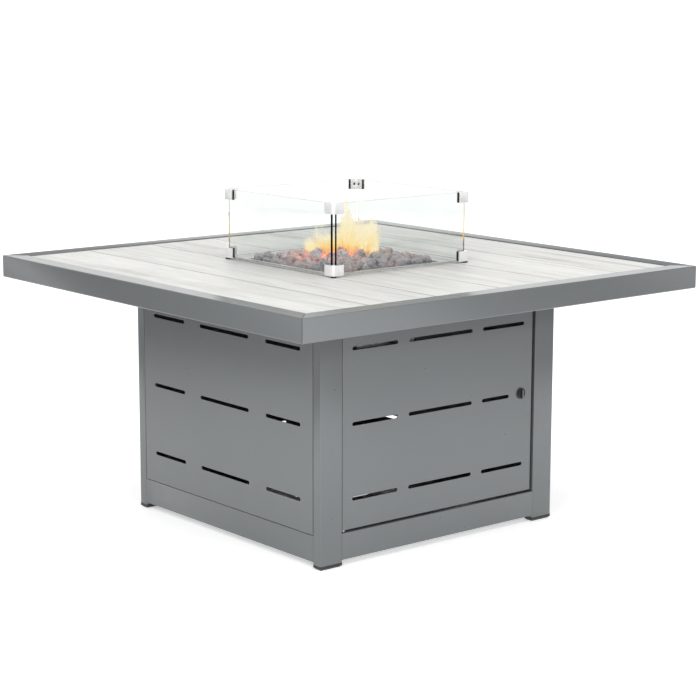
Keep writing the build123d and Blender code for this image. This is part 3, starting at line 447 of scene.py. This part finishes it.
def finish_nodes():
    """Gives every CAD node the material of its slot, or its own where one is named here."""
    by_slot = {
        "grey_paint": PAINT,
        "black_plastic": BLACK,
        "galvanised": MILL,
        "seal": SEALANT_AND_SHADE,
        "backer": BOARD,
        "stainless": STEEL_X,
        "cast": BARS,
        "rock": ROCK,
        "glass": GLASS_Y,
        "clip_metal": CLIP,
        "liner": RUBBER,
        "brass": BRASS,
        "pipe": MILL,
        "nylon": NYLON,
        "latch_black": BLACK,
        "porcelain": WHITE_GLAZE,
    }
    by_node = {
        "glass_left": GLASS_X,
        "glass_right": GLASS_X,
        "latch_knob": LATCH,
        "guard_set_screws": BLACK,
        "burner_pan": STEEL_PAN,
    }
    for part in frame["record"]["subparts"]:
        node = NODES[part["node"]]
        if part["material_slot"] == "ceramic":
            chosen = plank_material(int(part["node"][-1]))
        else:
            chosen = by_node.get(part["node"]) or by_slot[part["material_slot"]]
        node.data.materials.clear()
        node.data.materials.append(chosen)


finish_nodes()


# ------------------------------------------------------------ eased edges
def eased(names, width):
    """Replaces hard-edged pieces with copies whose edges are slightly rounded."""
    body_of = {}
    for body, members in frame["record"]["behaviour"]["bodies"].items():
        body_of.update((member, body) for member in members)
    for name in names:
        mesh = bmesh.new()
        mesh.from_mesh(NODES[name].data)
        bmesh.ops.remove_doubles(mesh, verts=mesh.verts, dist=WELD_DISTANCE)
        bmesh.ops.dissolve_limit(mesh, angle_limit=FLAT_ANGLE, verts=mesh.verts, edges=mesh.edges)
        data = bpy.data.meshes.new(name + "_eased")
        mesh.to_mesh(data)
        mesh.free()
        piece = bpy.data.objects.new(name + "_eased", data)
        bpy.context.scene.collection.objects.link(piece)
        data.materials.append(NODES[name].data.materials[0])
        bevel = piece.modifiers.new("ease", "BEVEL")
        bevel.width = width
        bevel.segments = 2
        bevel.limit_method = "ANGLE"
        bevel.angle_limit = CREASE_ANGLE
        bevel.harden_normals = True
        for face in data.polygons:
            face.use_smooth = True
        depsgraph = bpy.context.evaluated_depsgraph_get()
        piece.data = bpy.data.meshes.new_from_object(piece.evaluated_get(depsgraph))
        piece.modifiers.clear()
        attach(piece, body_of[name])
        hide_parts(name)


SIDES = ("front", "back", "left", "right")
CORNERS = [f"{near}_{side}" for near in ("front", "back") for side in ("left", "right")]
eased([f"rim_{side}" for side in SIDES], width=0.0016)
eased([f"leg_{corner}" for corner in CORNERS], width=0.0018)
eased([f"{row}_rail_{side}" for row in ("bottom", "top") for side in SIDES], width=0.0014)
eased([f"ceramic_plank_{k}" for k in range(1, 7)], width=0.0008)
eased(["guard_clips_lower", "guard_clips_upper"], width=0.0008)


# ------------------------------------------------------------- lava rocks
def rock_shape(name, seed):
    """One broken stone about 1 across, cut by random planes and roughened."""
    rng = random.Random(seed)
    mesh = bmesh.new()
    bmesh.ops.create_icosphere(mesh, subdivisions=2, radius=0.5)
    cuts = []
    for _ in range(9):
        away = Vector((rng.gauss(0, 1), rng.gauss(0, 1), rng.gauss(0, 1))).normalized()
        cuts.append((away, rng.uniform(0.30, 0.43)))
    shift = Vector((rng.uniform(0, 50), rng.uniform(0, 50), rng.uniform(0, 50)))
    for vertex in mesh.verts:
        for away, reach in cuts:
            over = vertex.co.dot(away) - reach
            if over > 0:
                vertex.co -= away * over * 0.88
        rough = noise.fractal(vertex.co * 4.0 + shift, 0.8, 2.0, 3) * 0.055
        vertex.co += vertex.normal * rough
    data = bpy.data.meshes.new(name)
    mesh.to_mesh(data)
    mesh.free()
    return bpy.data.objects.new(name, data)


def node_socket(tree, label, kind, value=None):
    socket = tree.interface.new_socket(label, in_out="INPUT", socket_type=kind)
    if value is not None:
        socket.default_value = value
    return socket.identifier


def heap_tree(stones):
    """A layer of stones set out on a jittered square bed, turned, sized and heaped towards the middle."""
    tree = bpy.data.node_groups.new("stone_layer", "GeometryNodeTree")
    inputs = {
        "Half Width": node_socket(tree, "Half Width", FLOAT, 0.15),
        "Per Side": node_socket(tree, "Per Side", "NodeSocketInt", 7),
        "Height": node_socket(tree, "Height", FLOAT, 0.6),
        "Mound": node_socket(tree, "Mound", FLOAT, 0.02),
        "Jitter": node_socket(tree, "Jitter", FLOAT, 0.008),
        "Stone Size": node_socket(tree, "Stone Size", FLOAT, 0.045),
        "Seed": node_socket(tree, "Seed", "NodeSocketInt", 1),
        "Material": node_socket(tree, "Material", "NodeSocketMaterial"),
    }
    tree.interface.new_socket("Geometry", in_out="OUTPUT", socket_type="NodeSocketGeometry")
    kit = Tree(tree)
    given = kit.node("NodeGroupInput").outputs
    width = kit.maths("MULTIPLY", given["Half Width"], 2.0)
    grid = kit.node(
        "GeometryNodeMeshGrid",
        {"Size X": width, "Size Y": width, "Vertices X": given["Per Side"], "Vertices Y": given["Per Side"]},
    ).outputs[0]
    reach = kit.node("ShaderNodeCombineXYZ", {0: given["Jitter"], 1: given["Jitter"], 2: 0.003}).outputs[0]
    back = kit.vector("SCALE", {0: reach, "Scale": -1.0})
    limits = {0: back, 1: reach, "Seed": given["Seed"]}
    jitter = kit.node("FunctionNodeRandomValue", limits, data_type="FLOAT_VECTOR").outputs[0]
    place = kit.node("GeometryNodeInputPosition").outputs[0]
    away = kit.maths("DIVIDE", kit.vector("LENGTH", {0: place}, "Value"), given["Half Width"])
    dome = kit.maths("SUBTRACT", 1.0, kit.maths("MULTIPLY", away, away), clamp=True)
    rise = kit.maths("ADD", given["Height"], kit.maths("MULTIPLY", dome, given["Mound"]))
    lift = kit.node("ShaderNodeCombineXYZ", {2: rise}).outputs[0]
    offset = kit.vector("ADD", {0: jitter, 1: lift})
    moved = kit.node("GeometryNodeSetPosition", {"Geometry": grid, "Offset": offset}).outputs[0]
    joined = kit.node("GeometryNodeJoinGeometry")
    for stone in stones:
        made = kit.node("GeometryNodeObjectInfo", {"Object": stone, "As Instance": True}).outputs["Geometry"]
        tree.links.new(made, joined.inputs[0])
    full_turn = (6.283, 6.283, 6.283)
    limits = {0: (0, 0, 0), 1: full_turn, "Seed": given["Seed"]}
    turn = kit.node("FunctionNodeRandomValue", limits, data_type="FLOAT_VECTOR").outputs[0]
    small = kit.maths("MULTIPLY", given["Stone Size"], 0.84)
    large = kit.maths("MULTIPLY", given["Stone Size"], 1.16)
    limits = {2: small, 3: large, "Seed": given["Seed"]}
    size = kit.node("FunctionNodeRandomValue", limits, data_type="FLOAT").outputs[1]
    put = kit.node(
        "GeometryNodeInstanceOnPoints",
        {
            "Points": moved,
            "Instance": joined.outputs[0],
            "Pick Instance": True,
            "Rotation": turn,
            "Scale": size,
        },
    ).outputs[0]
    real = kit.node("GeometryNodeRealizeInstances", {0: put}).outputs[0]
    done = kit.node("GeometryNodeSetMaterial", {"Geometry": real, "Material": given["Material"]}).outputs[0]
    tree.links.new(done, kit.node("NodeGroupOutput").inputs[0])
    return tree, inputs


def baked(name, tree, inputs, values):
    """Runs a geometry tree once and returns its result as a plain mesh object."""
    carrier = bpy.data.objects.new(name, bpy.data.meshes.new(name))
    bpy.context.scene.collection.objects.link(carrier)
    modifier = carrier.modifiers.new("build", "NODES")
    modifier.node_group = tree
    for label, value in values.items():
        modifier[inputs[label]] = value
    depsgraph = bpy.context.evaluated_depsgraph_get()
    data = bpy.data.meshes.new_from_object(carrier.evaluated_get(depsgraph))
    carrier.modifiers.clear()
    carrier.data = data
    return carrier


def rock_heap():
    """The bed of stones on the grate: two close layers and a looser one on top."""
    low, high = span("lava_rocks")
    stones = [rock_shape(f"stone_{k}", 40 + k) for k in range(6)]
    for stone in stones:
        bpy.context.scene.collection.objects.link(stone)
    tree, inputs = heap_tree(stones)
    half = (high.x - low.x) / 2
    layers = (
        ("rocks_lower", half - 0.014, 12, low.z + 0.016, 0.008, 0.003, 0.028, 3),
        ("rocks_upper", half - 0.018, 11, low.z + 0.030, 0.010, 0.005, 0.029, 8),
        ("rocks_top", half - 0.040, 8, low.z + 0.037, 0.018, 0.012, 0.028, 15),
    )
    for name, reach, count, height, mound, jitter, size, seed in layers:
        values = {
            "Half Width": reach,
            "Per Side": count,
            "Height": height,
            "Mound": mound,
            "Jitter": jitter,
            "Stone Size": size,
            "Seed": seed,
            "Material": ROCK,
        }
        piece = baked(name, tree, inputs, values)
        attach(piece, "table")
        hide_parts("lava_rocks")
    for stone in stones:
        bpy.data.objects.remove(stone)


rock_heap()


# ------------------------------------------------------------------ flame
def flame_material():
    """Bright at the foot, yellow to clear at the tip, with soft edges across each tongue."""
    made, kit, shader = material("flame", Roughness=1.0, Specular_IOR_Level=0.0, Base_Color=colour(0.0))
    shader.inputs["Emission Strength"].default_value = 1.05
    uv = kit.node("ShaderNodeUVMap", uv_map="tongue").outputs[0]
    along = kit.node("ShaderNodeSeparateXYZ", {0: uv}).outputs
    waver = kit.noise(kit.coords((1.0, 1.0, 0.55)), 34.0, 4.0, 0.55, 0.8)
    ragged = kit.maths("MULTIPLY", kit.maths("SUBTRACT", waver, 0.5), 1.5)
    side = kit.maths("ABSOLUTE", kit.maths("SUBTRACT", kit.maths("MULTIPLY", along[0], 2.0), 1.0))
    body = kit.spread(kit.maths("ADD", side, ragged), 0.95, 0.55)
    tip = kit.spread(kit.maths("ADD", along[1], ragged), 0.92, 0.62)
    foot = kit.spread(along[1], 0.0, 0.16)
    thin = kit.spread(along[1], 0.2, 1.0, 0.85, 0.55)
    solid = kit.maths("MULTIPLY", kit.maths("MULTIPLY", body, tip), foot)
    alpha = kit.maths("MULTIPLY", solid, thin, clamp=True)
    heat = kit.maths("ADD", kit.maths("MULTIPLY", along[1], 0.75), kit.maths("MULTIPLY", waver, 0.35))
    tone = kit.ramp(
        heat,
        (0.14, (0.90, 0.22, 0.035)),
        (0.28, (1.0, 0.48, 0.09)),
        (0.42, (1.0, 0.76, 0.34)),
        (0.56, (1.0, 0.86, 0.54)),
        (0.85, (1.0, 0.92, 0.72)),
    )
    link(kit, tone, shader, "Emission Color")
    link(kit, alpha, shader, "Alpha")
    return made


def tongue(mesh, layer, foot, height, width, lean, turn, seed):
    """Three crossed blades that taper and waver to one tip."""
    rng = random.Random(seed)
    sway = [rng.uniform(-1, 1) * width * 0.22 for _ in range(4)]
    steps = 14
    for blade in range(3):
        angle = turn + blade * PI / 3
        across = Vector((math.cos(angle), math.sin(angle), 0))
        rows = []
        for k in range(steps + 1):
            t = k / steps
            shape = math.sin(PI * min(1.0, t * 0.80 + 0.20)) ** 0.75
            half = width * 0.5 * (0.10 + 0.90 * shape) if t < 1 else width * 0.04
            middle = foot + Vector(lean) * t * t + Vector((0, 0, height * t))
            waver_x = math.sin(t * 5.0 + sway[0] * 90)
            waver_y = math.cos(t * 4.0 + sway[1] * 90)
            middle += Vector((waver_x, waver_y, 0)) * sway[2] * t
            places = [middle + across * half * side for side in (-1.0, -0.5, 0.0, 0.5, 1.0)]
            rows.append([mesh.verts.new(place) for place in places])
        for k in range(steps):
            for i in range(4):
                face = mesh.faces.new((rows[k][i], rows[k][i + 1], rows[k + 1][i + 1], rows[k + 1][i]))
                corners = ((i, k), (i + 1, k), (i + 1, k + 1), (i, k + 1))
                for loop, (u, v) in zip(face.loops, corners):
                    loop[layer].uv = (u / 4, v / steps)
                face.smooth = True


def flame():
    mesh = bmesh.new()
    layer = mesh.loops.layers.uv.new("tongue")
    foot = span("lava_rocks")[1].z - FLAME_SINK
    tongues = (
        ((0.004, -0.004), 0.116, 0.118, (0.010, -0.006, 0), 0.69, 1),
        ((0.004, -0.004), 0.148, 0.046, (-0.006, 0.004, 0), 0.2, 2),
        ((-0.030, 0.024), 0.088, 0.068, (-0.018, 0.014, 0), 0.9, 3),
        ((0.040, -0.036), 0.104, 0.078, (0.016, -0.014, 0), 0.5, 4),
        ((0.018, -0.040), 0.066, 0.034, (0.010, -0.008, 0), 1.3, 5),
        ((0.040, -0.060), 0.050, 0.030, (0.010, -0.008, 0), 0.4, 6),
        ((-0.060, 0.046), 0.058, 0.044, (-0.010, 0.008, 0), 1.0, 7),
    )
    for (x, y), height, width, lean, turn, seed in tongues:
        tongue(mesh, layer, Vector((x, y, foot)), height, width, lean, turn, seed)
    data = bpy.data.meshes.new("flame")
    mesh.to_mesh(data)
    mesh.free()
    piece = bpy.data.objects.new("flame", data)
    bpy.context.scene.collection.objects.link(piece)
    data.materials.append(flame_material())
    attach(piece, "table")


flame()


# ------------------------------------------------------------------ stage
def make_stage():
    """A wide pale floor that glows a little, with no visible far edge."""
    floor_mesh = bmesh.new()
    bmesh.ops.create_grid(floor_mesh, x_segments=1, y_segments=1, size=400.0)
    data = bpy.data.meshes.new("studio_floor")
    floor_mesh.to_mesh(data)
    floor_mesh.free()
    floor = bpy.data.objects.new("studio_floor", data)
    bpy.context.scene.collection.objects.link(floor)
    made, kit, shader = material("pale_floor", Roughness=0.9, Emission_Strength=0.40)
    tone = kit.ramp(kit.noise(kit.coords(), 0.6, 2.0, 0.5), (0.3, 0.955), (0.7, 0.965))
    link(kit, tone, shader, "Base Color")
    link(kit, tone, shader, "Emission Color")
    data.materials.append(made)


def dark_card(name, centre, radius):
    """A grey disc on the floor that only reflections see, as the dark end of a studio."""
    disc = bmesh.new()
    middle = Matrix.Translation(Vector(centre))
    bmesh.ops.create_circle(disc, cap_ends=True, segments=64, radius=radius, matrix=middle)
    data = bpy.data.meshes.new(name)
    disc.to_mesh(data)
    disc.free()
    card = bpy.data.objects.new(name, data)
    bpy.context.scene.collection.objects.link(card)
    made, kit, shader = material(name, Roughness=1.0)
    link(kit, kit.ramp(kit.noise(kit.coords(), 2.0), (0.3, 0.05), (0.7, 0.08)), shader, "Base Color")
    data.materials.append(made)
    card.visible_camera = False
    card.visible_diffuse = False
    card.visible_shadow = False
    card.visible_transmission = False


def area_light(name, place, aim, size, power):
    data = bpy.data.lights.new(name, "AREA")
    data.shape = "RECTANGLE"
    data.size, data.size_y = size
    data.energy = power
    light = bpy.data.objects.new(name, data)
    light.location = place
    light.visible_camera = False
    light.visible_transmission = False
    light.rotation_euler = (Vector(aim) - Vector(place)).to_track_quat("-Z", "Y").to_euler()
    bpy.context.scene.collection.objects.link(light)


def make_light():
    world = bpy.data.worlds.new("studio")
    world.use_nodes = True
    kit = Tree(world.node_tree)
    seen = kit.node("ShaderNodeLightPath").outputs["Is Camera Ray"]
    back = world.node_tree.nodes["Background"]
    back.inputs[0].default_value = (1.0, 1.0, 1.0, 1.0)
    world.node_tree.links.new(kit.blend(seen, 0.70, 1.0), back.inputs[1])
    bpy.context.scene.world = world
    area_light("overhead", (-0.5, -0.8, 3.6), (0.0, 0.0, 0.5), (3.2, 3.2), 46.0)
    area_light("front_key", (-1.6, -4.2, 2.0), (0.0, -0.35, 0.4), (0.5, 0.5), 46.0)
    area_light("back_strip", (3.9, 4.8, 2.10), (0.0, 0.0, 0.63), (7.0, 2.4), 62.0)
    area_light("left_key", (-2.6, -1.8, 1.95), (-0.35, 0.0, 0.4), (0.6, 0.6), 30.0)
    bpy.context.scene.view_settings.view_transform = "Standard"


make_stage()
dark_card("card_left", (-3.5, 3.0, 0.004), 2.4)
dark_card("card_right", (3.4, -3.5, 0.004), 2.1)
make_light()
